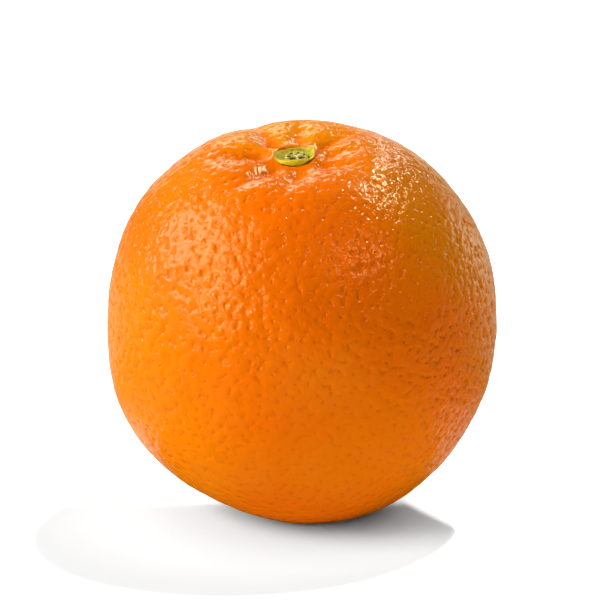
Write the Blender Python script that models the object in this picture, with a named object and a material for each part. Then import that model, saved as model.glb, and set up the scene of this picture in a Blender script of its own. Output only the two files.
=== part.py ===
"""A ripe sweet orange, whole, standing on the small flat spot that its own weight presses.

Three pieces: the fruit, the green calyx left at its stem end, and the dry end of the stem that snapped
off inside the calyx. Metres, +Z up. The origin is on the flat spot, straight under the middle of the
fruit. The stem end leans towards -Y, which is the front.
"""

import math
import random

import bmesh
import bpy
from mathutils import Euler, Vector, noise

MM = 0.001

# Body of the fruit: a nearly round spheroid about the stem axis
EQUATOR_RADIUS = 39.2 * MM
POLE_RADIUS = 40.5 * MM
SQUARENESS = 2.06  # 2 is a plain ellipse; a little more fills the shoulders
CENTRE_HEIGHT = 39.6 * MM  # of the body's centre above the surface that it rests on
STEM_LEAN_FRONT = math.radians(16.0)
STEM_LEAN_LEFT = math.radians(2.3)

# Stem end: a puckered basin round a flat floor, with radial creases between plump lobes
FLOOR_RADIUS = 3.4 * MM
PIT_DEPTH, PIT_RIM = 2.4 * MM, 6.2 * MM
BASIN_DEPTH, BASIN_RIM = 2.8 * MM, 19.0 * MM
# each crease: azimuth from +X towards the back in degrees, depth, and how far it reaches from the axis
CREASES = (
    (8, 1.0 * MM, 18 * MM),
    (47, 1.8 * MM, 21 * MM),
    (83, 2.3 * MM, 20 * MM),
    (118, 1.9 * MM, 27 * MM),
    (168, 2.4 * MM, 24 * MM),
    (235, 1.0 * MM, 16 * MM),
    (275, 1.8 * MM, 17 * MM),
    (333, 1.2 * MM, 18 * MM),
)
CREASE_WIDTH = 0.8 * MM  # at the floor's edge, from the valley to where it has mostly risen
CREASE_SPREAD = 0.13  # how much wider the valley gets for each unit of distance outwards

# Blossom end: the small scar where the flower's style dropped off
STYLE_SCAR_DEPTH, STYLE_SCAR_RADIUS = 0.5 * MM, 3.2 * MM

# Unevenness of the outline seen from the front: waves round it, height, and the first crest's angle from +X
OUTLINE_WAVES = (
    (3, 0.12 * MM, 58),
    (4, 0.35 * MM, 30),
    (5, 0.21 * MM, 67),
    (6, 0.06 * MM, 35),
)
LUMP_HEIGHT, LUMPS_PER_METRE = 0.30 * MM, 55.0

# Skin: oil-gland pits as relief, larger than life, one at each chosen vertex of the lattice
LATTICE_CUTS = 10
PIT_SEED = 7
SKIN_PIT_DEPTH = 0.5 * MM
PIT_FREE_HEIGHT = 2.5 * MM  # above the surface that it rests on, where the pressed skin's pits are shallower
# the lattice is drawn together at the stem end, so that the creases have vertices enough
GATHER_SHARE, GATHER_ANGLE = 0.62, 0.36

# Calyx: a small cup, flared to a rim of five uneven sepals, with a well for the broken stem
CUP_BASE, CUP_RIM, CUP_HEIGHT = 2.6 * MM, 3.85 * MM, 1.55 * MM
CUP_SHELF = 0.85 * MM  # height of the inner shelf round the well
WELL_RADIUS, WELL_FLOOR = 2.3 * MM, 0.45 * MM
# each sepal: azimuth in degrees, how far it sticks out, how far it turns up or down, and half its width
SEPALS = (
    (272, 0.50 * MM, -0.50 * MM, 0.50),
    (325, 0.30 * MM, -0.15 * MM, 0.32),
    (28, 0.35 * MM, 0.65 * MM, 0.30),
    (172, 0.60 * MM, 0.10 * MM, 0.30),
    (224, 0.30 * MM, -0.20 * MM, 0.38),
)
CALYX_STEPS = 60

# Stem end: a worn wooden disc with a ring of pits where the sap vessels broke
STEM_RADIUS = 1.95 * MM
STEM_HEIGHT = 0.65 * MM
VESSELS = 7
VESSEL_RING, VESSEL_RADIUS, VESSEL_DEPTH = 1.15 * MM, 0.42 * MM, 0.32 * MM
STEM_STEPS = 42

GAP = 0.3 * MM  # kept between pieces that rest on each other

PEEL_COLOUR = (0.90, 0.26, 0.012, 1)
CALYX_COLOUR = (0.36, 0.38, 0.06, 1)
STEM_COLOUR = (0.30, 0.27, 0.12, 1)


def smooth_step(low, high, value):
    """0 below low, 1 above high, and a smooth rise between them."""
    t = min(1.0, max(0.0, (value - low) / (high - low)))
    return t * t * (3 - 2 * t)


def material(name, colour, roughness):
    made = bpy.data.materials.new(name)
    made.use_nodes = True
    shader = made.node_tree.nodes["Principled BSDF"]
    shader.inputs["Base Color"].default_value = colour
    shader.inputs["Roughness"].default_value = roughness
    shader.inputs["Metallic"].default_value = 0
    return made


def add_object(name, mesh_edit, parent, finish):
    """Turns a finished bmesh into a named object under parent."""
    bmesh.ops.recalc_face_normals(mesh_edit, faces=mesh_edit.faces)
    mesh = bpy.data.meshes.new(name)
    mesh_edit.to_mesh(mesh)
    mesh_edit.free()
    mesh.shade_smooth()
    mesh.materials.append(finish)
    made = bpy.data.objects.new(name, mesh)
    bpy.context.scene.collection.objects.link(made)
    made.parent = parent
    return made


def add_empty(name, parent=None):
    made = bpy.data.objects.new(name, None)
    bpy.context.scene.collection.objects.link(made)
    made.parent = parent
    return made


# ---- Fruit ----


def body_radius(polar):
    """Distance from the centre to the plain body, at this angle from the stem axis."""
    along = abs(math.cos(polar)) / POLE_RADIUS
    across = math.sin(polar) / EQUATOR_RADIUS
    return (along**SQUARENESS + across**SQUARENESS) ** (-1 / SQUARENESS)


def basin_drop(off_axis):
    pit = PIT_DEPTH * (1 - smooth_step(FLOOR_RADIUS, PIT_RIM, off_axis))
    return pit + BASIN_DEPTH * (1 - smooth_step(FLOOR_RADIUS, BASIN_RIM, off_axis))


def crease_drop(off_axis, azimuth):
    """How far the creases cut in at this distance from the stem axis and this azimuth."""
    drop = 0.0
    width = CREASE_WIDTH + CREASE_SPREAD * max(0.0, off_axis - FLOOR_RADIUS)
    start = smooth_step(FLOOR_RADIUS, PIT_RIM * 1.1, off_axis)
    for degrees, depth, reach in CREASES:
        turn = math.remainder(azimuth - math.radians(degrees), math.tau)
        side = abs(turn) * off_axis / width
        fade = 1 - smooth_step(FLOOR_RADIUS, reach, off_axis)
        drop += depth * start * fade * math.exp(-side)
    return drop


def outline_swell(direction):
    """The slow waves of the outline, for a direction from the centre in world axes."""
    flat = math.hypot(direction.x, direction.z)
    angle = math.atan2(direction.z, direction.x)
    return sum(
        height * flat**waves * math.cos(waves * (angle - math.radians(crest)))
        for waves, height, crest in OUTLINE_WAVES
    )


def gathered(polar):
    """The polar angle of a lattice vertex after the lattice is drawn towards the stem end."""
    pull = GATHER_SHARE * math.sin(polar) * math.exp(-((polar / GATHER_ANGLE) ** 2))
    return polar - pull


def chosen_pits(mesh_edit):
    """Vertices no two of which are neighbours, picked in a shuffled order: the places of the skin pits."""
    order = list(mesh_edit.verts)
    random.Random(PIT_SEED).shuffle(order)
    pits = set()
    for vert in order:
        if not any(edge.other_vert(vert) in pits for edge in vert.link_edges):
            pits.add(vert)
    return pits


def skin_radius(polar, azimuth, direction, turn):
    """Distance from the centre to the skin, without its pits. turn takes direction to world axes."""
    radius = body_radius(polar)
    off_axis = radius * math.sin(polar)
    radius += outline_swell(turn @ direction)
    radius += LUMP_HEIGHT * noise.noise(direction * radius * LUMPS_PER_METRE)
    if polar < math.pi / 2:
        return radius - basin_drop(off_axis) - crease_drop(off_axis, azimuth)
    return radius - STYLE_SCAR_DEPTH * (1 - smooth_step(0, STYLE_SCAR_RADIUS, off_axis))


def make_fruit(parent, centre_height, turn):
    """The whole fruit as one solid, pressed flat where it rests."""
    mesh_edit = bmesh.new()
    bmesh.ops.create_icosphere(mesh_edit, subdivisions=2, radius=1)
    bmesh.ops.subdivide_edges(
        mesh_edit, edges=mesh_edit.edges, cuts=LATTICE_CUTS, use_grid_fill=True
    )
    draw = random.Random(PIT_SEED)
    pits = chosen_pits(mesh_edit)
    for vert in mesh_edit.verts:
        lattice = vert.co.normalized()
        azimuth = math.atan2(lattice.y, lattice.x)
        polar = gathered(math.acos(max(-1.0, min(1.0, lattice.z))))
        level = math.sin(polar)
        direction = Vector((level * math.cos(azimuth), level * math.sin(azimuth), math.cos(polar)))
        vert.co = direction * skin_radius(polar, azimuth, direction, turn)
        height = centre_height + (turn @ vert.co).z
        depth = SKIN_PIT_DEPTH * draw.uniform(0.7, 1.3)
        if vert in pits:
            depth *= smooth_step(FLOOR_RADIUS * 1.3, BASIN_RIM, vert.co.xy.length) if polar < 1 else 1
            vert.co -= direction * depth * smooth_step(0, PIT_FREE_HEIGHT, height)
        if height < 0:
            vert.co += turn.inverted() @ Vector((0, 0, -height))
    bmesh.ops.triangulate(mesh_edit, faces=mesh_edit.faces[:])
    return add_object("fruit", mesh_edit, parent, material("peel", PEEL_COLOUR, 0.35))


# ---- Calyx ----


def turned(profile, steps):
    """A bmesh of a profile of (radius, height) points spun about +Z, closed at the axis."""
    mesh_edit = bmesh.new()
    points = [mesh_edit.verts.new((radius, 0, height)) for radius, height in profile]
    edges = [mesh_edit.edges.new(pair) for pair in zip(points, points[1:])]
    bmesh.ops.spin(
        mesh_edit,
        geom=points + edges,
        cent=(0, 0, 0),
        axis=(0, 0, 1),
        angle=math.tau,
        steps=steps,
        use_merge=True,
    )
    bmesh.ops.remove_doubles(mesh_edit, verts=mesh_edit.verts, dist=0.01 * MM)
    return mesh_edit


def make_calyx(parent, floor_height):
    """The green button: a flared cup whose rim runs out in five sepals, and a well inside it."""
    profile = [
        (0, 0),
        (CUP_BASE, 0),
        (CUP_BASE + 0.3 * MM, 0.2 * MM),
        (CUP_RIM - 0.45 * MM, CUP_HEIGHT * 0.55),
        (CUP_RIM, CUP_HEIGHT * 0.88),
        (CUP_RIM - 0.02 * MM, CUP_HEIGHT * 0.98),
        (CUP_RIM - 0.2 * MM, CUP_HEIGHT),
        (CUP_RIM - 0.42 * MM, CUP_HEIGHT * 0.93),
        (CUP_RIM - 0.85 * MM, CUP_SHELF + 0.1 * MM),
        (WELL_RADIUS + 0.2 * MM, CUP_SHELF),
        (WELL_RADIUS, CUP_SHELF - 0.1 * MM),
        (WELL_RADIUS - 0.05 * MM, WELL_FLOOR),
        (0, WELL_FLOOR),
    ]
    mesh_edit = turned(profile, CALYX_STEPS)
    for vert in mesh_edit.verts:
        flat = math.hypot(vert.co.x, vert.co.y)
        outer = smooth_step(WELL_RADIUS * 1.1, CUP_RIM, flat) * smooth_step(0.1 * MM, CUP_HEIGHT, vert.co.z)
        for degrees, reach, rise, half_width in SEPALS:
            turn = math.remainder(math.atan2(vert.co.y, vert.co.x) - math.radians(degrees), math.tau)
            share = outer * math.exp(-((turn / half_width) ** 2))
            vert.co.z += rise * share
            if flat > 0:
                vert.co.xy *= 1 + reach * share / flat
    calyx = add_object("calyx", mesh_edit, parent, material("calyx_green", CALYX_COLOUR, 0.6))
    calyx.location.z = floor_height + GAP
    return calyx


# ---- Stem end ----


def make_stem_end(parent, base_height):
    """The broken end of the stem: a low disc with a ring of vessel pits round the pith."""
    profile = [
        (0, 0),
        (STEM_RADIUS * 0.96, 0),
        (STEM_RADIUS, STEM_HEIGHT * 0.3),
        (STEM_RADIUS * 0.97, STEM_HEIGHT * 0.8),
        (STEM_RADIUS * 0.88, STEM_HEIGHT),
        (STEM_RADIUS * 0.75, STEM_HEIGHT),
        (STEM_RADIUS * 0.62, STEM_HEIGHT),
        (STEM_RADIUS * 0.48, STEM_HEIGHT),
        (STEM_RADIUS * 0.34, STEM_HEIGHT),
        (STEM_RADIUS * 0.18, STEM_HEIGHT),
        (0, STEM_HEIGHT),
    ]
    mesh_edit = turned(profile, STEM_STEPS)
    for vert in mesh_edit.verts:
        if vert.co.z < STEM_HEIGHT * 0.9:
            continue
        for vessel in range(VESSELS):
            angle = math.tau * vessel / VESSELS
            centre = VESSEL_RING * Vector((math.cos(angle), math.sin(angle)))
            away = (vert.co.xy - centre).length
            vert.co.z -= VESSEL_DEPTH * (1 - smooth_step(0, VESSEL_RADIUS, away))
    stem = add_object("stem_end", mesh_edit, parent, material("stem_wood", STEM_COLOUR, 0.8))
    stem.location.z = base_height
    return stem


# ---- Assembly ----


def main():
    for old in list(bpy.data.objects):
        bpy.data.objects.remove(old)
    lean = Euler((STEM_LEAN_FRONT, -STEM_LEAN_LEFT, 0))
    orange = add_empty("orange")
    stem_axis = add_empty("stem_axis", orange)
    stem_axis.location = (0, 0, CENTRE_HEIGHT)
    stem_axis.rotation_euler = lean
    make_fruit(stem_axis, CENTRE_HEIGHT, lean.to_matrix())
    floor_height = POLE_RADIUS - basin_drop(0)
    calyx = make_calyx(stem_axis, floor_height)
    make_stem_end(stem_axis, calyx.location.z + WELL_FLOOR + GAP)


main()
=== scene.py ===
"""A whole ripe orange on a pale floor: pitted glossy peel, dry green calyx and broken stem end."""

import math
import random

import bmesh
import bpy
import numpy as np
from mathutils import Euler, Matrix, Vector, kdtree, noise


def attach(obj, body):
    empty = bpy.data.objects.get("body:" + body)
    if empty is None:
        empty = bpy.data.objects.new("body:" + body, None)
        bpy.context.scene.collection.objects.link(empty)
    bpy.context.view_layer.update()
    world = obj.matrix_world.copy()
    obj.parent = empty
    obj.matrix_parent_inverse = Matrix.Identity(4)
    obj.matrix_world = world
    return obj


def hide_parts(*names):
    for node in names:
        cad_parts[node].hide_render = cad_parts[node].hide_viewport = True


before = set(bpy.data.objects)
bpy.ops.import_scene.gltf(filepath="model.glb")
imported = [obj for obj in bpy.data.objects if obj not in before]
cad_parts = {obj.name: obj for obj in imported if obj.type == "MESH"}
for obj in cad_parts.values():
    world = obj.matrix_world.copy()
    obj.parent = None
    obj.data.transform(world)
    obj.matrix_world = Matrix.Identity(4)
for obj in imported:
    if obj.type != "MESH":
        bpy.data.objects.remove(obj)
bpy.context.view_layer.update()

# ---------------------------------------------------------------------------
# Peel: the outside of the fruit. It is one living skin, glossy with its own wax, pitted over each
# oil gland, and drawn in by creases to the basin where the stem held it.
# ---------------------------------------------------------------------------

MM = 0.001

PEEL_EQUATOR, PEEL_POLE = 39.2 * MM, 40.5 * MM
PEEL_SQUARENESS = 2.06
PEEL_INSET = 0.15 * MM  # keeps the finer skin inside the solid's box
PEEL_CENTRE = Vector((0, 0, 39.6 * MM))
STEM_LEAN = Euler((math.radians(16.0), -math.radians(2.3), 0)).to_matrix()

BASIN_FLOOR = 3.2 * MM
PIT_DEPTH, PIT_RIM = 2.4 * MM, 4.5 * MM
FRONT_DIP = 0.9 * MM  # the pit's rim is this much lower at the front
BASIN_DEPTH, BASIN_RIM = 2.8 * MM, 19.0 * MM
# each crease: azimuth in degrees, depth, how far it reaches from the stem, and how it bends on the way
CREASES = (
    (2, 1.5 * MM, 18 * MM, 9),
    (42, 2.7 * MM, 25 * MM, -6),
    (84, 2.6 * MM, 21 * MM, 2),
    (124, 2.9 * MM, 34 * MM, -10),
    (172, 2.8 * MM, 24 * MM, 8),
    (230, 2.1 * MM, 26 * MM, -6),
    (274, 1.7 * MM, 24 * MM, -22),
    (330, 2.0 * MM, 20 * MM, 12),
)
# the valley's width and that of the rounded shoulders beside it, and how both widen outwards
CREASE_WIDTH, CREASE_SPREAD = 0.55 * MM, 0.07
CUSHION_WIDTH, CUSHION_SPREAD = 1.1 * MM, 0.18
VALLEY_SHARE = 0.5  # of a crease's depth; the roll of its shoulders makes the rest
VALLEY_ROUNDING = 0.05
CREASE_START = (4.0 * MM, 8.5 * MM)  # from the stem's axis: where a crease begins and where it is whole
CREASE_FADE = 1.3  # above 1 it is shallow sooner on its way out
BEND_START, BEND_LENGTH = 8 * MM, 12 * MM  # a crease has turned by its bend this far past the start
# waves round the outline, seen from the front: how many, height, and the first crest's angle in degrees
OUTLINE_WAVES = (
    (3, 0.12 * MM, 58),
    (4, 0.35 * MM, 30),
    (5, 0.21 * MM, 67),
    (6, 0.06 * MM, 35),
)
BULGE_SIZE, BULGE_HEIGHT = 18 * MM, 0.30 * MM
STYLE_SCAR_DEPTH, STYLE_SCAR_RADIUS = 0.5 * MM, 3.2 * MM

PORES, PORE_SEED = 3900, 11
PORE_JITTER = 0.22  # as a share of the distance between pores
PORE_SIZES = (0.6, 1.25)  # from the smallest to the largest, as shares of the usual radius
PORE_RADIUS, PORE_DEPTH = 0.46 * MM, 0.09 * MM
DIMPLE_RADIUS, DIMPLE_DEPTH = 0.80 * MM, 0.12 * MM  # the wide hollow round each pore
PORE_START = (4 * MM, 7.5 * MM)  # from the stem's axis: where pores begin and where they are whole
NEAR_PORES = 4  # how many dimples shape each place
SKIN_RADIUS = 39 * MM  # the skin's usual distance from the centre
# soft unevenness of the rind: size of its lumps and their height
UNEVEN = (
    (1.3 * MM, 0.05 * MM),
    (2.4 * MM, 0.075 * MM),
    (7.5 * MM, 0.13 * MM),
)
UNEVEN_SEED = 3
UNEVEN_START = (3 * MM, 7 * MM)  # from the stem's axis: where the lumps gain their full height

# how strong all relief is: the underside's share, and what both sides and the lower right add, each with
# the two distances from the fruit's centre, upwards or to the right, between which it changes
RELIEF_BELOW, BELOW_SPAN = 0.62, (-24 * MM, 6 * MM)
RELIEF_SIDES, SIDES_SPAN, SIDES_MIDDLE = 0.25, (5 * MM, 30 * MM), 2 * MM
RELIEF_LOW_RIGHT, RIGHT_SPAN, LOW_SPAN = 0.55, (19 * MM, 30 * MM), (-16 * MM, 12 * MM)
# how strong the unevenness is: at the left and what it gains to the right, near the stem, and in a
# lumpier place on the upper left
UNEVEN_LEFT, UNEVEN_GAIN, ACROSS_SPAN = 0.80, 0.15, (-26 * MM, 20 * MM)
UNEVEN_STEM, STEM_SPAN = 0.90, (14 * MM, 22 * MM)
LUMPY_GAIN, LUMPY_CENTRE, LUMPY_REACH = 1.7, (-20 * MM, -26 * MM, 12 * MM), (8 * MM, 30 * MM)
# how much shallower the pores' hollows are on the right, and where that starts and ends
SHALLOWER, SHALLOW_START, SHALLOW_END = 0.45, (-8 * MM, 12 * MM), (26 * MM, 34 * MM)

LATTICE_CUTS = 23
GATHERED, GATHER_REACH = 0.5, 0.42  # the lattice is drawn together at the stem end; angles in radians
RADIAL_UNIT = 20 * MM  # of the distance from the stem that the material reads
RADIAL_BELOW = 4  # that distance on the lower half, beyond every wrinkle


def rise(low, high, value):
    """0 below low, 1 above high, and a smooth rise between them."""
    t = np.clip((value - low) / (high - low), 0, 1)
    return t * t * (3 - 2 * t)


def layered_noise(points, size, seed):
    """Smooth noise from -1 to 1 at each point, with lumps about size across."""
    shift = Vector((seed * 7.3, seed * -3.1, seed * 5.7))
    return np.array([noise.noise(Vector(point) / size + shift) for point in points])


def crease_drop(off_stem, azimuth):
    """How far the creases draw the skin in, at each distance from the stem's axis and azimuth."""
    drop = np.zeros_like(off_stem)
    width = CREASE_WIDTH + CREASE_SPREAD * off_stem
    cushion = CUSHION_WIDTH + CUSHION_SPREAD * off_stem
    start = rise(*CREASE_START, off_stem)
    for degrees, depth, reach, bend in CREASES:
        bent = np.radians(degrees + bend * (off_stem - BEND_START) / BEND_LENGTH)
        turn = np.remainder(azimuth - bent + math.pi, math.tau) - math.pi
        side = np.sqrt((turn * off_stem / width) ** 2 + VALLEY_ROUNDING)
        shoulder = np.exp(-((turn * off_stem / cushion) ** 2))
        fade = (1 - rise(BASIN_FLOOR, reach, off_stem)) ** CREASE_FADE
        drop += depth * start * fade * (VALLEY_SHARE * np.exp(-side) + (1 - VALLEY_SHARE) * shoulder)
    return drop


def skin_radius(directions):
    """Distance from the centre to the skin for unit directions about the stem axis, without pores."""
    along = np.clip(directions[:, 2], -1, 1)
    across = np.sqrt(1 - along**2)
    body = (np.abs(along) / PEEL_POLE) ** PEEL_SQUARENESS + (across / PEEL_EQUATOR) ** PEEL_SQUARENESS
    radius = body ** (-1 / PEEL_SQUARENESS) - PEEL_INSET
    off_stem = radius * across
    azimuth = np.arctan2(directions[:, 1], directions[:, 0])
    upright = directions @ np.array(STEM_LEAN).T
    flat = np.hypot(upright[:, 0], upright[:, 2])
    angle = np.arctan2(upright[:, 2], upright[:, 0])
    for waves, height, crest in OUTLINE_WAVES:
        radius += height * flat**waves * np.cos(waves * (angle - math.radians(crest)))
    radius += BULGE_HEIGHT * layered_noise(directions * radius[:, None], BULGE_SIZE, 0)
    top = along > 0
    dip = FRONT_DIP * (0.5 - 0.5 * np.sin(azimuth)) ** 2
    drop = (PIT_DEPTH - dip) * (1 - rise(BASIN_FLOOR, PIT_RIM, off_stem))
    drop += (BASIN_DEPTH + dip) * (1 - rise(BASIN_FLOOR, BASIN_RIM, off_stem))
    drop += crease_drop(off_stem, azimuth)
    radius -= np.where(top, drop, STYLE_SCAR_DEPTH * (1 - rise(0, STYLE_SCAR_RADIUS, off_stem)))
    return radius, off_stem, azimuth


def scatter_pores():
    """Unit directions of the oil glands, evenly spread with a seeded jitter, and a size for each."""
    draw = random.Random(PORE_SEED)
    turn = math.pi * (3 - math.sqrt(5))
    pitch = math.sqrt(4 * math.pi / PORES)
    pores = []
    for index in range(PORES):
        along = 1 - (2 * index + 1) / PORES
        across = math.sqrt(1 - along * along)
        place = Vector((across * math.cos(turn * index), across * math.sin(turn * index), along))
        place += Vector([draw.gauss(0, PORE_JITTER * pitch) for _ in range(3)])
        pores.append((place.normalized(), draw.uniform(*PORE_SIZES)))
    return pores


def pore_relief(directions):
    """For each direction: where it lies from its nearest pore, how far, and how deep it is in dimples."""
    pores = scatter_pores()
    tree = kdtree.KDTree(len(pores))
    for index, (place, _) in enumerate(pores):
        tree.insert(place, index)
    tree.balance()
    offset = np.empty((len(directions), 3))
    reach = np.empty(len(directions))
    dimple = np.zeros(len(directions))
    for index, direction in enumerate(directions):
        near = tree.find_n(Vector(direction), NEAR_PORES)
        place, nearest, distance = near[0]
        pore_size = PORE_RADIUS * pores[nearest][1] / SKIN_RADIUS
        offset[index] = (direction - np.array(place)) / pore_size
        reach[index] = distance / pore_size
        for _, other, away in near:
            share = away * SKIN_RADIUS / DIMPLE_RADIUS
            dimple[index] += pores[other][1] * math.exp(-share * share)
    return offset, reach, dimple


def relief_share(upright):
    """The strength of all relief: weaker on the underside, stronger at both sides and the lower right."""
    right, up = upright[:, 0], upright[:, 2]
    firm = RELIEF_BELOW + (1 - RELIEF_BELOW) * rise(*BELOW_SPAN, up)
    firm += RELIEF_SIDES * rise(*SIDES_SPAN, np.abs(right - SIDES_MIDDLE))
    firm += RELIEF_LOW_RIGHT * rise(*RIGHT_SPAN, right) * (1 - rise(*LOW_SPAN, up))
    return firm


def make_peel_mesh():
    mesh_edit = bmesh.new()
    bmesh.ops.create_icosphere(mesh_edit, subdivisions=3, radius=1)
    bmesh.ops.subdivide_edges(mesh_edit, edges=mesh_edit.edges, cuts=LATTICE_CUTS, use_grid_fill=True)
    mesh = bpy.data.meshes.new("peel")
    mesh_edit.to_mesh(mesh)
    mesh_edit.free()
    count = len(mesh.vertices)
    places = np.empty(count * 3)
    mesh.vertices.foreach_get("co", places)
    directions = places.reshape(-1, 3)
    directions /= np.linalg.norm(directions, axis=1)[:, None]
    polar = np.arccos(np.clip(directions[:, 2], -1, 1))
    azimuth = np.arctan2(directions[:, 1], directions[:, 0])
    polar -= GATHERED * np.sin(polar) * np.exp(-((polar / GATHER_REACH) ** 2))
    directions = np.stack(
        [np.sin(polar) * np.cos(azimuth), np.sin(polar) * np.sin(azimuth), np.cos(polar)], axis=1
    )
    top = directions[:, 2] > 0
    radius, off_stem, azimuth = skin_radius(directions)
    upright = directions * radius[:, None] @ np.array(STEM_LEAN).T
    firm = relief_share(upright)
    # the rind is a little more even on the left, except for the lumps on the upper left
    uneven = firm * (UNEVEN_LEFT + UNEVEN_GAIN * rise(*ACROSS_SPAN, upright[:, 0]))
    away = np.linalg.norm(upright - np.array(LUMPY_CENTRE), axis=1)
    lumpy = uneven * (1 + LUMPY_GAIN * (1 - rise(*LUMPY_REACH, away)))
    open_skin = np.where(top, rise(*UNEVEN_START, off_stem), 1)
    skin = directions * radius[:, None]
    for seed, (size, height) in enumerate(UNEVEN, UNEVEN_SEED):
        radius += height * lumpy * (0.5 + 0.5 * open_skin) * layered_noise(skin, size, seed)
    # the material's fine relief is a little weaker near the stem
    uneven *= np.where(top, UNEVEN_STEM + (1 - UNEVEN_STEM) * rise(*STEM_SPAN, off_stem), 1)
    offset, reach, dimple = pore_relief(directions)
    fade = np.where(top, rise(*PORE_START, off_stem), 1)
    # right of the middle, up to the rim, the hollows round the pores are shallower
    shallow = rise(*SHALLOW_START, upright[:, 0]) * (1 - rise(*SHALLOW_END, upright[:, 0]))
    dimple *= 1 - SHALLOWER * shallow
    radius -= fade * firm * (DIMPLE_DEPTH * dimple + PORE_DEPTH * np.exp(-(reach**2)))
    skin = directions * radius[:, None] @ np.array(STEM_LEAN).T + np.array(PEEL_CENTRE)
    skin[:, 2] = np.maximum(skin[:, 2], 0)
    mesh.vertices.foreach_set("co", skin.ravel())
    mesh.attributes.new("pore", "FLOAT_VECTOR", "POINT").data.foreach_set("vector", offset.ravel())
    mesh.attributes.new("pore_reach", "FLOAT", "POINT").data.foreach_set("value", reach)
    mesh.attributes.new("pore_fade", "FLOAT", "POINT").data.foreach_set("value", fade)
    mesh.attributes.new("uneven", "FLOAT", "POINT").data.foreach_set("value", uneven)
    # how deep the creases draw the skin in, in millimetres, which the material reads to paint shade in
    # them
    crease = np.where(top, crease_drop(off_stem, azimuth), 0) / MM
    mesh.attributes.new("crease", "FLOAT", "POINT").data.foreach_set("value", crease)
    radial = np.stack([np.cos(azimuth), np.sin(azimuth), off_stem / RADIAL_UNIT], axis=1)
    radial[:, 2] = np.where(top, radial[:, 2], RADIAL_BELOW)
    mesh.attributes.new("radial", "FLOAT_VECTOR", "POINT").data.foreach_set("vector", radial.ravel())
    mesh.update()
    mesh.shade_smooth()
    return mesh


def add_piece(name, mesh, finish):
    """A visible piece of the fruit, with its material, riding on the part's only body."""
    piece = bpy.data.objects.new(name, mesh)
    bpy.context.scene.collection.objects.link(piece)
    mesh.materials.append(finish)
    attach(piece, "root")
    return piece


def feed(tree, socket, value):
    """Sets a socket to a constant, or links it to another node's output."""
    if isinstance(value, (int, float, tuple)):
        socket.default_value = value
    else:
        tree.links.new(value, socket)


def maths(tree, operation, first, second=0.0, third=0.0):
    made = tree.nodes.new("ShaderNodeMath")
    made.operation = operation
    for socket, value in zip(made.inputs, (first, second, third)):
        feed(tree, socket, value)
    return made.outputs[0]


def ramp(tree, value, low, high, out_low=0.0, out_high=1.0):
    """A smooth rise of the value from low to high, mapped to out_low and out_high."""
    made = tree.nodes.new("ShaderNodeMapRange")
    made.interpolation_type = "SMOOTHSTEP"
    tree.links.new(value, made.inputs["Value"])
    made.inputs["From Min"].default_value = low
    made.inputs["From Max"].default_value = high
    made.inputs["To Min"].default_value = out_low
    made.inputs["To Max"].default_value = out_high
    return made.outputs["Result"]


def blend(tree, share, first, second):
    """The first colour where the share is 0, the second where it is 1."""
    made = tree.nodes.new("ShaderNodeMix")
    made.data_type = "RGBA"
    for socket, value in zip((made.inputs[0], made.inputs[6], made.inputs[7]), (share, first, second)):
        feed(tree, socket, value)
    return made.outputs[2]


def noise_value(tree, vector, scale, detail=2.0, roughness=0.5, distortion=0.0):
    made = tree.nodes.new("ShaderNodeTexNoise")
    tree.links.new(vector, made.inputs["Vector"])
    feed(tree, made.inputs["Scale"], scale)
    feed(tree, made.inputs["Detail"], detail)
    made.inputs["Roughness"].default_value = roughness
    made.inputs["Distortion"].default_value = distortion
    return made.outputs["Fac"]


def vector_maths(tree, operation, first, second=None, third=None):
    made = tree.nodes.new("ShaderNodeVectorMath")
    made.operation = operation
    for socket, value in zip(made.inputs, (first, second, third)):
        if value is not None:
            feed(tree, socket, value)
    return made


def attribute(tree, name, output="Fac"):
    made = tree.nodes.new("ShaderNodeAttribute")
    made.attribute_name = name
    return made.outputs[output]


PEEL_ORANGE = (0.93, 0.200, 0.0004, 1)
PEEL_DEEP = (0.91, 0.142, 0.0002, 1)
PEEL_YELLOW = (0.96, 0.262, 0.0006, 1)
PEEL_OCHRE = (0.80, 0.235, 0.0006, 1)
# painted shade: the creases' tone, darker and redder, as the light in them would be
PEEL_CREASE_SHADE = (0.86, 0.105, 0.0002, 1)
PEEL_PORE = (0.74, 0.110, 0.0002, 1)
PEEL_BOUNCE = (0.38, 0.37, 0.38, 1)  # what its neighbours see of it
WAX_TINT = (1.0, 0.68, 0.34, 1)
WAX_IOR = 1.36
WAX_ROUGHNESS = (0.10, 0.18)
PORE_DARKNESS = 0.28
# noise scales, in waves per metre
TONE_SCALE, SPECKLE_SCALE, BORDER_SCALE, WAX_SCALE, FINE_SCALE = 38, 520, 90, 160, 1700
CELL_SCALE, CELL_WANDER_SCALE, CELL_WANDER = 760, 420, 0.9 * MM
# relief, in millimetres
CELL_DOME, FINE_RELIEF, PORE_RELIEF, WRINKLE_RELIEF = -0.14, 0.07, -0.10, 0.12
WRINKLE_WAVES = (7, 7, 4.5)  # two ways round the stem, and outwards
# patches of another tone: tone, centre, how far it reaches, and how strongly
PEEL_PATCHES = (
    (PEEL_YELLOW, (-34 * MM, -12 * MM, 30 * MM), 36 * MM, 0.45),
    (PEEL_YELLOW, (-10 * MM, -20 * MM, 2 * MM), 34 * MM, 0.35),
    (PEEL_YELLOW, (12 * MM, 34 * MM, 22 * MM), 34 * MM, 0.7),
    (PEEL_YELLOW, (-3 * MM, 4 * MM, 78 * MM), 20 * MM, 1.0),
    (PEEL_DEEP, (2 * MM, -30 * MM, 56 * MM), 22 * MM, 0.7),
    (PEEL_DEEP, (0 * MM, -16 * MM, 3 * MM), 24 * MM, 0.9),
    (PEEL_OCHRE, (28 * MM, -12 * MM, 64 * MM), 24 * MM, 0.9),
    (PEEL_OCHRE, (36 * MM, -8 * MM, 40 * MM), 20 * MM, 0.5),
)
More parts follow.
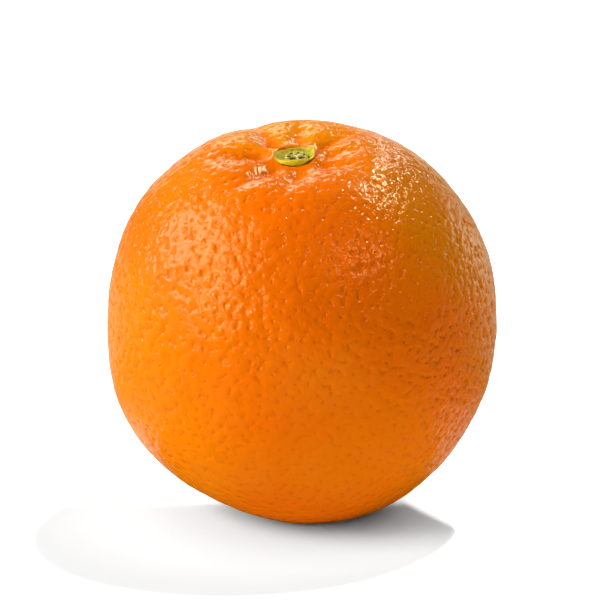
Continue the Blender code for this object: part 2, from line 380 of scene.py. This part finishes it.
# as shares of a patch's reach: where it ends, how wide its soft border is, and how far that wanders
PATCH_END, PATCH_SOFT, PATCH_WANDER = 1.17, 0.6, 0.35


def patch(tree, place, centre, reach):
    """1 near a point of the fruit, falling to 0 at about the reach, where the border wanders."""
    away = vector_maths(tree, "DISTANCE", place, centre).outputs["Value"]
    border = noise_value(tree, place, BORDER_SCALE)
    far = maths(tree, "MULTIPLY_ADD", border, PATCH_WANDER * reach, away)
    return ramp(tree, far, reach * (PATCH_END - PATCH_SOFT), reach * PATCH_END, 1, 0)


def wander(tree, place, scale, reach):
    """The place, shifted by up to about the reach by a noise, so that a pattern on it is irregular."""
    shift = tree.nodes.new("ShaderNodeTexNoise")
    shift.inputs["Scale"].default_value = scale
    shift.inputs["Detail"].default_value = 1
    tree.links.new(place, shift.inputs["Vector"])
    spread = (2 * reach, 2 * reach, 2 * reach)
    return vector_maths(tree, "MULTIPLY_ADD", shift.outputs["Color"], spread, place).outputs["Vector"]


def peel_material():
    made = bpy.data.materials.new("peel")
    made.use_nodes = True
    tree = made.node_tree
    shader = tree.nodes["Principled BSDF"]
    place = tree.nodes.new("ShaderNodeTexCoord").outputs["Object"]
    # pore: 1 at the bottom of a pore, 0 on the skin between
    length = vector_maths(tree, "LENGTH", attribute(tree, "pore", "Vector")).outputs["Value"]
    own_cell = ramp(tree, attribute(tree, "pore_reach"), 1.25, 1.9, 1, 0)
    hollow = ramp(tree, length, 0.1, 1.15, 1, 0)
    pore = maths(tree, "MULTIPLY", maths(tree, "MULTIPLY", hollow, own_cell), attribute(tree, "pore_fade"))
    # colour: tones that change over the fruit, then speckles, painted shade in the creases and darker
    # pores
    tone = ramp(tree, noise_value(tree, place, TONE_SCALE), 0.30, 0.70, 0.35, 1.0)
    colour = blend(tree, tone, PEEL_DEEP, PEEL_ORANGE)
    for ripe_tone, centre, reach, share in PEEL_PATCHES:
        there = maths(tree, "MULTIPLY", patch(tree, place, centre, reach), share)
        colour = blend(tree, there, colour, ripe_tone)
    speckle = noise_value(tree, place, SPECKLE_SCALE, 3, 0.6)
    colour = blend(tree, ramp(tree, speckle, 0.4, 0.8, 0, 0.30), colour, PEEL_DEEP)
    # painted shade: the deeper a crease, the darker and redder it is painted
    colour = blend(tree, ramp(tree, attribute(tree, "crease"), 0.6, 2.1, 0, 0.65), colour, PEEL_CREASE_SHADE)
    colour = blend(tree, maths(tree, "MULTIPLY", pore, PORE_DARKNESS), colour, PEEL_PORE)
    # the light that it throws on what is round it is nearly grey
    bounce = tree.nodes.new("ShaderNodeLightPath").outputs["Is Diffuse Ray"]
    colour = blend(tree, bounce, colour, PEEL_BOUNCE)
    tree.links.new(colour, shader.inputs["Base Color"])
    # gloss
    wax = noise_value(tree, place, WAX_SCALE, 3)
    tree.links.new(ramp(tree, wax, 0.3, 0.7, *WAX_ROUGHNESS), shader.inputs["Roughness"])
    shader.inputs["Specular Tint"].default_value = WAX_TINT
    shader.inputs["IOR"].default_value = WAX_IOR
    # relief: domed cells between the pores, and a fine grain
    fine = noise_value(tree, place, FINE_SCALE)
    cells = tree.nodes.new("ShaderNodeTexVoronoi")
    cells.inputs["Scale"].default_value = CELL_SCALE
    tree.links.new(wander(tree, place, CELL_WANDER_SCALE, CELL_WANDER), cells.inputs["Vector"])
    dome = maths(tree, "POWER", cells.outputs["Distance"], 2)
    height = maths(tree, "MULTIPLY_ADD", dome, CELL_DOME, maths(tree, "MULTIPLY", fine, FINE_RELIEF))
    height = maths(tree, "MULTIPLY_ADD", pore, PORE_RELIEF, height)
    height = maths(tree, "MULTIPLY", height, attribute(tree, "uneven"))
    # relief: wrinkles that run in towards the stem, in a ring round the calyx
    radial = attribute(tree, "radial", "Vector")
    around = vector_maths(tree, "MULTIPLY", radial, WRINKLE_WAVES).outputs["Vector"]
    wrinkle = noise_value(tree, around, 1.0, 2, 0.5, 0.6)
    off_stem = tree.nodes.new("ShaderNodeSeparateXYZ")
    tree.links.new(radial, off_stem.inputs[0])
    near_stem = ramp(tree, off_stem.outputs["Z"], 0.40, 0.95, 1, 0)
    near_stem = maths(tree, "MULTIPLY", near_stem, ramp(tree, off_stem.outputs["Z"], 0.18, 0.35))
    wrinkle = maths(tree, "MULTIPLY", wrinkle, near_stem)
    height = maths(tree, "MULTIPLY_ADD", wrinkle, WRINKLE_RELIEF, height)
    bump = tree.nodes.new("ShaderNodeBump")
    bump.inputs["Distance"].default_value = MM
    bump.inputs["Strength"].default_value = 1.0
    tree.links.new(height, bump.inputs["Height"])
    tree.links.new(bump.outputs["Normal"], shader.inputs["Normal"])
    return made


peel = add_piece("peel", make_peel_mesh(), peel_material())
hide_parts("fruit")

# ---------------------------------------------------------------------------
# Calyx: the green button that held the flower. It is one dry, leathery cup, shaped like a boat: the
# rim rises to a point at each end, is cut low at the back, and is folded down over the peel in front.
# ---------------------------------------------------------------------------

CALYX_SUNK = 0.05 * MM  # so that it sits in the basin's floor, not on it
CALYX_BASE = PEEL_POLE - PIT_DEPTH - BASIN_DEPTH - CALYX_SUNK
CUP_BASE, CUP_RIM, CUP_HEIGHT = 2.6 * MM, 3.6 * MM, 1.6 * MM
WELL_RADIUS, WELL_FLOOR = 2.42 * MM, 0.35  # its floor as a share of the cup's height
WELL_SHIFT = 0.4 * MM  # the stem stood this far to the right in the cup
WELL_SHIFT_ABOVE = 0.2  # of the cup's height: its foot stays where it is
# the rim's height and reach as waves round the cup from the front: level, once, twice, three times
RIM_LIFT = (0.0, -0.16 * MM, -0.42 * MM, 0.09 * MM)
RIM_REACH = (0.17 * MM, 0.40 * MM, -0.27 * MM, 0)
RIM_CRINKLE, EDGE_CRINKLE = 0.24 * MM, 0.20 * MM  # up and down, in and out
CRINKLES, CRINKLES_OUTWARD = 2.6, 300  # how fast they change round the cup, and outwards
FOLD_RADIUS, FOLD_WIDTH, FOLD_HEIGHT = 3.0 * MM, 0.45 * MM, 1.15 * MM
FOLD_HALF_ANGLE = 0.95  # radians, to each side of the front
# each sepal's tip: azimuth in degrees, how far it sticks out and turns up, and half its width in radians
SEPALS = (
    (24, 0.15 * MM, 0.75 * MM, 0.34),
    (88, 0.10 * MM, 0.42 * MM, 0.50),
    (150, 0.00 * MM, -0.35 * MM, 0.30),
    (174, 0.15 * MM, 0.45 * MM, 0.24),
    (222, -0.10 * MM, -0.15 * MM, 0.20),
    (318, -0.10 * MM, 0.20 * MM, 0.20),
)
CALYX_STEPS = 96
WELD = 0.005 * MM  # points of a spun mesh closer than this are one


def spun_mesh(profile, steps):
    """A mesh of a (radius, height) profile spun about the stem axis, closed at the axis."""
    mesh_edit = bmesh.new()
    points = [mesh_edit.verts.new((radius, 0, height)) for radius, height in profile]
    edges = [mesh_edit.edges.new(pair) for pair in zip(points, points[1:])]
    bmesh.ops.spin(
        mesh_edit,
        geom=points + edges,
        cent=(0, 0, 0),
        axis=(0, 0, 1),
        angle=math.tau,
        steps=steps,
        use_merge=True,
    )
    bmesh.ops.remove_doubles(mesh_edit, verts=mesh_edit.verts, dist=WELD)
    bmesh.ops.recalc_face_normals(mesh_edit, faces=mesh_edit.faces)
    return mesh_edit


def finish_on_stem(name, mesh_edit, base):
    """Puts a bmesh made about the stem axis in its place on the fruit, as a smooth mesh."""
    mesh = bpy.data.meshes.new(name)
    for vert in mesh_edit.verts:
        vert.co = PEEL_CENTRE + STEM_LEAN @ (vert.co + Vector((0, 0, base)))
    mesh_edit.to_mesh(mesh)
    mesh_edit.free()
    mesh.shade_smooth()
    return mesh


def make_calyx_mesh():
    profile = [
        (0, 0),
        (CUP_BASE * 0.6, 0),
        (CUP_BASE, 0.05 * MM),
        (CUP_BASE + 0.35 * MM, 0.3 * MM),
        (CUP_RIM - 0.45 * MM, CUP_HEIGHT * 0.58),
        (CUP_RIM - 0.1 * MM, CUP_HEIGHT * 0.85),
        (CUP_RIM, CUP_HEIGHT * 0.95),
        (CUP_RIM - 0.08 * MM, CUP_HEIGHT),
        (CUP_RIM - 0.25 * MM, CUP_HEIGHT * 0.97),
        (CUP_RIM - 0.6 * MM, CUP_HEIGHT * 0.80),
        (CUP_RIM - 1.0 * MM, CUP_HEIGHT * 0.66),
        (WELL_RADIUS + 0.15 * MM, CUP_HEIGHT * 0.62),
        (WELL_RADIUS, CUP_HEIGHT * 0.58),
        (WELL_RADIUS - 0.05 * MM, CUP_HEIGHT * WELL_FLOOR),
        (0, CUP_HEIGHT * WELL_FLOOR),
    ]
    mesh_edit = spun_mesh(profile, CALYX_STEPS)
    rim_layer = mesh_edit.verts.layers.float.new("rim")
    band_layer = mesh_edit.verts.layers.float.new("band")
    for vert in mesh_edit.verts:
        flat = vert.co.xy.length
        azimuth = math.atan2(vert.co.y, vert.co.x)
        from_front = math.remainder(azimuth + math.pi / 2, math.tau)
        up = vert.co.z / CUP_HEIGHT
        outer = float(rise(WELL_RADIUS * 1.05, CUP_RIM, flat) * rise(0.0625, 0.8, up))
        front = math.exp(-((abs(from_front) / FOLD_HALF_ANGLE) ** 4))
        fold = math.exp(-(((flat - FOLD_RADIUS) / FOLD_WIDTH) ** 2)) * float(rise(0, 0.4, up))
        vert[rim_layer] = float(rise(CUP_RIM - 0.75 * MM, CUP_RIM - 0.2 * MM, flat))
        vert[band_layer] = front * float(rise(FOLD_RADIUS - 0.1 * MM, FOLD_RADIUS + 0.3 * MM, flat))
        lift = sum(size * math.cos(wave * from_front) for wave, size in enumerate(RIM_LIFT))
        grown = sum(size * math.cos(wave * from_front) for wave, size in enumerate(RIM_REACH))
        for degrees, reach, turned_up, half_width in SEPALS:
            turn = math.remainder(azimuth - math.radians(degrees), math.tau)
            share = math.exp(-((abs(turn) / half_width) ** 2))
            lift += turned_up * share
            grown += reach * share
        ring = Vector((math.cos(azimuth), math.sin(azimuth), flat * CRINKLES_OUTWARD))
        crinkle = noise.noise(ring * CRINKLES)
        vert.co.z += (lift + RIM_CRINKLE * crinkle) * outer + FOLD_HEIGHT * front * fold
        if flat > 0:
            vert.co.xy *= 1 + (grown + EDGE_CRINKLE * crinkle) * outer / flat
        if vert.co.z > WELL_SHIFT_ABOVE * CUP_HEIGHT:
            vert.co.x += WELL_SHIFT * (1 - float(rise(WELL_RADIUS, CUP_RIM, flat)))
    return finish_on_stem("calyx", mesh_edit, CALYX_BASE)


def grain_group():
    """Dry plant tissue, for the calyx and the stem: blotches, fibres, and the relief of the fibres."""
    group = bpy.data.node_groups.new("dry_grain", "ShaderNodeTree")
    sockets = (
        ("Vector", "INPUT", "NodeSocketVector"),
        ("Mottle Scale", "INPUT", "NodeSocketFloat"),
        ("Fibre Scale", "INPUT", "NodeSocketFloat"),
        ("Fibre Detail", "INPUT", "NodeSocketFloat"),
        ("Relief", "INPUT", "NodeSocketFloat"),
        ("Mottle", "OUTPUT", "NodeSocketFloat"),
        ("Fibre", "OUTPUT", "NodeSocketFloat"),
        ("Normal", "OUTPUT", "NodeSocketVector"),
    )
    for name, side, kind in sockets:
        group.interface.new_socket(name=name, in_out=side, socket_type=kind)
    given = group.nodes.new("NodeGroupInput").outputs
    result = group.nodes.new("NodeGroupOutput").inputs
    mottle = noise_value(group, given["Vector"], given["Mottle Scale"], 3, 0.6)
    fibre = noise_value(group, given["Vector"], given["Fibre Scale"], given["Fibre Detail"], 0.6)
    bump = group.nodes.new("ShaderNodeBump")
    group.links.new(given["Relief"], bump.inputs["Distance"])
    group.links.new(fibre, bump.inputs["Height"])
    group.links.new(mottle, result["Mottle"])
    group.links.new(fibre, result["Fibre"])
    group.links.new(bump.outputs["Normal"], result["Normal"])
    return group


DRY_GRAIN = grain_group()


def dry_grain(tree, mottle_scale, fibre_scale, fibre_detail, relief):
    """The grain group, placed in a material with its own values."""
    made = tree.nodes.new("ShaderNodeGroup")
    made.node_tree = DRY_GRAIN
    tree.links.new(tree.nodes.new("ShaderNodeTexCoord").outputs["Object"], made.inputs["Vector"])
    made.inputs["Mottle Scale"].default_value = mottle_scale
    made.inputs["Fibre Scale"].default_value = fibre_scale
    made.inputs["Fibre Detail"].default_value = fibre_detail
    made.inputs["Relief"].default_value = relief
    return made.outputs


CALYX_GREEN = (0.34, 0.32, 0.006, 1)
CALYX_LIME = (0.62, 0.52, 0.008, 1)
CALYX_YELLOW = (0.80, 0.53, 0.006, 1)
CALYX_TAN = (0.84, 0.46, 0.040, 1)
CALYX_CREAM = (0.74, 0.60, 0.12, 1)
CALYX_BROWN = (0.10, 0.055, 0.006, 1)
CALYX_ROUGHNESS = (0.42, 0.62)
CALYX_SPECULAR = 0.12


def calyx_material():
    made = bpy.data.materials.new("calyx_green")
    made.use_nodes = True
    tree = made.node_tree
    shader = tree.nodes["Principled BSDF"]
    grain = dry_grain(tree, mottle_scale=700, fibre_scale=2600, fibre_detail=3, relief=0.11 * MM)
    mottle, fibre = grain["Mottle"], grain["Fibre"]
    colour = blend(tree, ramp(tree, mottle, 0.35, 0.62), CALYX_GREEN, CALYX_LIME)
    colour = blend(tree, ramp(tree, fibre, 0.52, 0.75, 0, 0.3), colour, CALYX_CREAM)
    colour = blend(tree, ramp(tree, fibre, 0.45, 0.25, 0, 0.55), colour, CALYX_BROWN)
    # the rim has dried to tan, and the fold in front to yellow
    colour = blend(tree, ramp(tree, attribute(tree, "rim"), 0.3, 0.9, 0, 0.6), colour, CALYX_TAN)
    band = maths(tree, "MULTIPLY_ADD", mottle, 0.5, attribute(tree, "band"))
    colour = blend(tree, ramp(tree, band, 0.35, 0.9), colour, CALYX_YELLOW)
    tree.links.new(colour, shader.inputs["Base Color"])
    tree.links.new(ramp(tree, mottle, 0.3, 0.7, *CALYX_ROUGHNESS), shader.inputs["Roughness"])
    shader.inputs["Specular IOR Level"].default_value = CALYX_SPECULAR
    tree.links.new(grain["Normal"], shader.inputs["Normal"])
    return made


calyx = add_piece("calyx_cup", make_calyx_mesh(), calyx_material())
rounding = calyx.modifiers.new("rounding", "SUBSURF")
rounding.levels = rounding.render_levels = 2
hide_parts("calyx")

# ---------------------------------------------------------------------------
# Stem end: where the stem broke off inside the cup, which it grew as one with. It is dry wood with a
# ring of open sap vessels, dark inside, between pale raised walls.
# ---------------------------------------------------------------------------

STEM_RADIUS = 2.3 * MM
STEM_BASE = CALYX_BASE + CUP_HEIGHT * WELL_FLOOR
STEM_HEIGHT = 0.95 * MM
STEM_LUMPS, VESSEL_DEPTH, STEM_EDGE_DROP = 0.13 * MM, 0.38 * MM, 0.18 * MM
COARSE_LUMPS, FINE_LUMPS = 1900, 4300  # waves per metre
# the open vessels: azimuth in degrees, how far out and how wide, as shares of the stem's radius
VESSELS = (
    (232, 0.50, 0.34),
    (325, 0.55, 0.32),
    (15, 0.70, 0.16),
    (75, 0.62, 0.18),
    (130, 0.60, 0.16),
    (180, 0.62, 0.18),
)
STEM_RINGS, STEM_STEPS = 26, 120


def make_stem_mesh():
    top = [(STEM_RADIUS * (1 - ring / STEM_RINGS), STEM_HEIGHT) for ring in range(1, STEM_RINGS + 1)]
    side = [(0, 0), (STEM_RADIUS * 0.97, 0), (STEM_RADIUS, STEM_HEIGHT * 0.5)]
    side.append((STEM_RADIUS * 0.99, STEM_HEIGHT * 0.9))
    mesh_edit = spun_mesh(side + top, STEM_STEPS)
    vessels = []
    for degrees, out, width in VESSELS:
        angle = math.radians(degrees)
        centre = Vector((math.cos(angle), math.sin(angle))) * STEM_RADIUS * out
        vessels.append((centre, STEM_RADIUS * width))
    hollow_layer = mesh_edit.verts.layers.float.new("hollow")
    for vert in mesh_edit.verts:
        if vert.co.z < STEM_HEIGHT * 0.85:
            continue
        hollow = 0.0
        for centre, size in vessels:
            hollow = max(hollow, 1 - float(rise(size * 0.35, size * 1.25, (vert.co.xy - centre).length)))
        vert[hollow_layer] = hollow
        rough = noise.noise(vert.co * COARSE_LUMPS) + 0.5 * noise.noise(vert.co * FINE_LUMPS)
        edge = float(rise(STEM_RADIUS * 0.8, STEM_RADIUS, vert.co.xy.length))
        vert.co.z += STEM_LUMPS * rough - VESSEL_DEPTH * hollow - STEM_EDGE_DROP * edge
    bmesh.ops.translate(mesh_edit, verts=mesh_edit.verts, vec=(WELL_SHIFT, 0, 0))
    return finish_on_stem("stem_end", mesh_edit, STEM_BASE)


STEM_CREAM = (0.74, 0.64, 0.17, 1)
STEM_OLIVE = (0.34, 0.31, 0.035, 1)
STEM_DARK = (0.11, 0.06, 0.006, 1)
WOOD_ROUGHNESS = (0.65, 0.9)
WOOD_SPECULAR = 0.15


def stem_material():
    made = bpy.data.materials.new("stem_wood")
    made.use_nodes = True
    tree = made.node_tree
    shader = tree.nodes["Principled BSDF"]
    grain = dry_grain(tree, mottle_scale=1500, fibre_scale=5200, fibre_detail=2, relief=0.05 * MM)
    colour = blend(tree, ramp(tree, grain["Mottle"], 0.40, 0.60), STEM_OLIVE, STEM_CREAM)
    colour = blend(tree, ramp(tree, attribute(tree, "hollow"), 0.05, 0.7), colour, STEM_DARK)
    tree.links.new(colour, shader.inputs["Base Color"])
    tree.links.new(ramp(tree, grain["Fibre"], 0.3, 0.7, *WOOD_ROUGHNESS), shader.inputs["Roughness"])
    shader.inputs["Specular IOR Level"].default_value = WOOD_SPECULAR
    tree.links.new(grain["Normal"], shader.inputs["Normal"])
    return made


stem_end = add_piece("stem_scar", make_stem_mesh(), stem_material())
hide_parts("stem_end")

# ---------------------------------------------------------------------------
# Floor, light and camera: a matt pale studio floor, a large window on the left, the sun high up at the
# back right, and cards and a fill round the fruit. Each light either shows in the gloss or colours and
# shades the fruit, and the floor has lights of its own.
# What the camera sees of the floor is painted lighter round the fruit, and glows white past its shadow.
# ---------------------------------------------------------------------------

FLOOR_SIZE = 8.0
FLOOR_ROUGHNESS = 0.9
# how bright the camera sees it, and painted lighter close round the fruit: painted light that evens out
# the fruit's shadow there
FLOOR_SEEN = (0.80, 0.80, 0.80, 1)
FLOOR_SEEN_PAINTED_LIGHT_NEAR = (1.0, 1.0, 1.0, 1)
FLOOR_LIT = (0.65, 0.61, 0.55, 1)  # how bright it looks to the fruit
FLOOR_NEAR = (1.18, 1.15, 1.10, 1)  # the same, painted brighter close beside it, as painted light on the fruit's underside
FLOOR_GLOSS = (0.36, 0.38, 0.28, 1)  # how bright it looks in the wax
FLOOR_GLOSS_NEAR = (0.28, 0.15, 0.005, 1)  # the same, under the fruit
# the distances from where the fruit stands, in metres, between which each of them changes
SEEN_SPAN, LIT_SPAN = (0.030, 0.060), (0.015, 0.055)
GLOSS_SPAN, GLOSS_SIDE = (0.029, 0.041), 0.75  # to the back, plus this share of the way sideways
# the share of that gloss that is left far away, and far to the back
GLOSS_FAR, GLOSS_FAR_SPAN = 0.12, (0.045, 0.09)
GLOSS_BACK, GLOSS_BACK_SPAN = 0.6, (0.04, 0.11)
GLOW = 0.2  # the light that the same part of the floor adds in the wax
# painted light: the floor glows white for the camera and cuts the fruit's shadow off: its strength, and
# where it comes in behind the fruit, far away, and beside it to the right, past a line that slants
WASH = 0.7
WASH_BEHIND, WASH_FAR = (0.002, 0.010), (0.09, 0.20)
WASH_BESIDE, WASH_SLANT = (0.0405, 0.0465), 1.8


def floor_material():
    made = bpy.data.materials.new("floor_paint")
    made.use_nodes = True
    tree = made.node_tree
    shader = tree.nodes["Principled BSDF"]
    shader.inputs["Roughness"].default_value = FLOOR_ROUGHNESS
    shader.inputs["Specular IOR Level"].default_value = 0.0
    ray = tree.nodes.new("ShaderNodeLightPath").outputs
    place = tree.nodes.new("ShaderNodeTexCoord").outputs["Object"]
    away = vector_maths(tree, "LENGTH", place).outputs["Value"]
    axes = tree.nodes.new("ShaderNodeSeparateXYZ")
    tree.links.new(place, axes.inputs[0])
    right, back = axes.outputs["X"], axes.outputs["Y"]
    # painted light: the floor is painted brighter close round the fruit, for the fruit and for the camera
    lit = blend(tree, ramp(tree, away, *LIT_SPAN), FLOOR_NEAR, FLOOR_LIT)
    seen = blend(tree, ramp(tree, away, *SEEN_SPAN), FLOOR_SEEN_PAINTED_LIGHT_NEAR, FLOOR_SEEN)
    colour = blend(tree, ray["Is Camera Ray"], lit, seen)
    # ring: the part of the floor behind and beside the fruit that its wax mirrors towards the front
    outward = maths(tree, "MULTIPLY_ADD", maths(tree, "ABSOLUTE", right), GLOSS_SIDE, back)
    near = ramp(tree, away, *GLOSS_FAR_SPAN, 1, GLOSS_FAR)
    near = maths(tree, "MAXIMUM", near, ramp(tree, back, *GLOSS_BACK_SPAN, 0, GLOSS_BACK))
    ring = maths(tree, "MULTIPLY", ramp(tree, outward, *GLOSS_SPAN), near)
    gloss = blend(tree, ring, FLOOR_GLOSS_NEAR, FLOOR_GLOSS)
    colour = blend(tree, ray["Is Glossy Ray"], colour, gloss)
    tree.links.new(colour, shader.inputs["Base Color"])
    # painted light: behind the fruit, beside it and far from it the floor glows white for the camera,
    # which cuts its shadow off there
    beside = maths(tree, "MULTIPLY_ADD", right, WASH_SLANT, back)
    behind = maths(tree, "MAXIMUM", ramp(tree, beside, *WASH_BESIDE), ramp(tree, back, *WASH_BEHIND))
    wash = maths(tree, "MAXIMUM", behind, ramp(tree, away, *WASH_FAR))
    wash = maths(tree, "MULTIPLY", maths(tree, "MULTIPLY", wash, WASH), ray["Is Camera Ray"])
    glow = maths(tree, "MULTIPLY", maths(tree, "MULTIPLY", ring, GLOW), ray["Is Glossy Ray"])
    shader.inputs["Emission Color"].default_value = (1, 1, 1, 1)
    tree.links.new(maths(tree, "ADD", wash, glow), shader.inputs["Emission Strength"])
    return made


floor_edit = bmesh.new()
bmesh.ops.create_grid(floor_edit, x_segments=1, y_segments=1, size=FLOOR_SIZE / 2)
floor_mesh = bpy.data.meshes.new("floor")
floor_edit.to_mesh(floor_mesh)
floor_edit.free()
floor_mesh.materials.append(floor_material())
floor = bpy.data.objects.new("floor", floor_mesh)
bpy.context.scene.collection.objects.link(floor)

CENTRE = Vector((0, 0, 0.0395))  # the middle of the fruit, which the lights face
# the fruit and the floor are lit apart, each by its own lights
on_fruit = bpy.data.collections.new("on_fruit")
for lit_piece in (peel, calyx, stem_end):
    on_fruit.objects.link(lit_piece)
on_floor = bpy.data.collections.new("on_floor")
on_floor.objects.link(floor)


def soft_light(lit, name, direction, distance, width, height, radiance, colour=(1, 1, 1)):
    """An area light that faces the fruit, with its power worked out from the wanted radiance."""
    light = bpy.data.lights.new(name, "AREA")
    light.shape = "RECTANGLE"
    light.size = width
    light.size_y = height
    light.energy = radiance * math.pi * width * height
    light.color = colour
    holder = bpy.data.objects.new(name, light)
    holder.location = CENTRE + Vector(direction).normalized() * distance
    holder.rotation_euler = (CENTRE - holder.location).to_track_quat("-Z", "Y").to_euler()
    holder.light_linking.receiver_collection = lit
    bpy.context.scene.collection.objects.link(holder)
    return holder


# each light: name, direction, distance, width, height, radiance, and colour unless white
# those that show in the gloss
GLOSS_LIGHTS = (
    ("window_glint", (-0.81, -0.02, 0.54), 1.00, 0.80, 0.55, 12.5, (0.75, 0.62, 0.66)),
    ("window_edge", (-0.66, -0.57, 0.41), 1.00, 0.15, 0.15, 50, (0.78, 0.66, 0.56)),
    ("low_glint", (-0.80, -0.58, 0.20), 1.00, 0.24, 0.30, 9, (0.75, 0.66, 0.9)),
    ("sun_glint", (0.43, 0.36, 0.82), 1.20, 0.46, 0.07, 72, (1, 0.97, 0.76)),
    ("rim_glint", (0.28, 0.82, 0.48), 1.20, 0.40, 0.05, 22, (1, 0.96, 0.76)),
    ("sky_glint", (-0.19, 0.78, 0.60), 1.10, 0.40, 0.20, 6.0, (1, 0.92, 0.74)),
    ("backdrop_glint", (0.0, 0.99, 0.12), 1.20, 0.95, 0.30, 1.1, (1, 0.90, 0.66)),
    ("card_glint", (0.66, 0.76, 0.02), 1.00, 0.44, 0.40, 1.6, (0.9, 1.0, 0.80)),
    ("fill_glint", (0.50, -0.56, 0.66), 0.90, 0.24, 0.24, 13, (0.75, 0.58, 0.60)),
)
# those that colour and shade the fruit
SHADING_LIGHTS = (
    ("window_left", (-0.73, -0.27, 0.62), 1.00, 0.80, 0.80, 3.8),
    ("sun_back", (0.255, 0.28, 0.926), 1.20, 0.06, 0.06, 550),
    ("card_right", (0.70, 0.66, 0.20), 1.00, 0.50, 0.70, 0.65),
    ("card_low", (-0.95, -0.10, 0.30), 1.00, 0.80, 0.60, 2.9),
    ("card_back", (-0.80, 0.45, 0.35), 1.00, 0.50, 0.50, 2.0),
    ("fill_right", (0.50, -0.56, 0.66), 0.90, 0.25, 0.25, 2.2, (1.0, 0.75, 0.9)),
)
# those of the floor, where the sun gives the shadow its outline
FLOOR_LIGHTS = (
    ("floor_sky", (0, 0, 1), 1.20, 3.0, 3.0, 0.82),
    ("floor_key", (-0.72, -0.46, 0.46), 1.00, 0.60, 0.60, 8.6),
    ("floor_front", (-0.10, -0.93, 0.30), 1.00, 0.60, 0.40, 3.1),
    ("floor_sun", (0.255, 0.28, 0.926), 1.20, 0.05, 0.05, 1300),
)
for row in GLOSS_LIGHTS:
    soft_light(on_fruit, *row).visible_diffuse = False
for row in SHADING_LIGHTS:
    soft_light(on_fruit, *row).visible_glossy = False
for row in FLOOR_LIGHTS:
    soft_light(on_floor, *row)

ROOM_LIGHT = (0.10, 0.10, 0.10, 1)
ROOM_GLOSS = (0.15, 0.12, 0.03, 1)  # as it shows in the wax

world = bpy.data.worlds.new("studio")
world.use_nodes = True
bpy.context.scene.world = world
room_tree = world.node_tree
room_ray = room_tree.nodes.new("ShaderNodeLightPath")
room_tone = blend(room_tree, room_ray.outputs["Is Glossy Ray"], ROOM_LIGHT, ROOM_GLOSS)
room_tree.links.new(room_tone, room_tree.nodes["Background"].inputs["Color"])

CAMERA_ELEVATION = math.radians(13)
CAMERA_DISTANCE = 0.65
VIEW_WIDTH = 0.1197  # what the frame spans at the fruit's centre
AIM_UP, AIM_RIGHT = 0.0042, -0.0003  # from the fruit's centre

camera_data = bpy.data.cameras.new("camera")
camera_data.sensor_width = 36
camera_data.lens = camera_data.sensor_width * CAMERA_DISTANCE / VIEW_WIDTH
camera = bpy.data.objects.new("camera", camera_data)
bpy.context.scene.collection.objects.link(camera)
view_up = Vector((0, math.sin(CAMERA_ELEVATION), math.cos(CAMERA_ELEVATION)))
view_back = Vector((0, -math.cos(CAMERA_ELEVATION), math.sin(CAMERA_ELEVATION)))
aim = CENTRE + view_up * AIM_UP + Vector((AIM_RIGHT, 0, 0))
camera.location = aim + view_back * CAMERA_DISTANCE
camera.rotation_euler = (aim - camera.location).to_track_quat("-Z", "Y").to_euler()
bpy.context.scene.camera = camera
bpy.context.scene.view_settings.view_transform = "Standard"
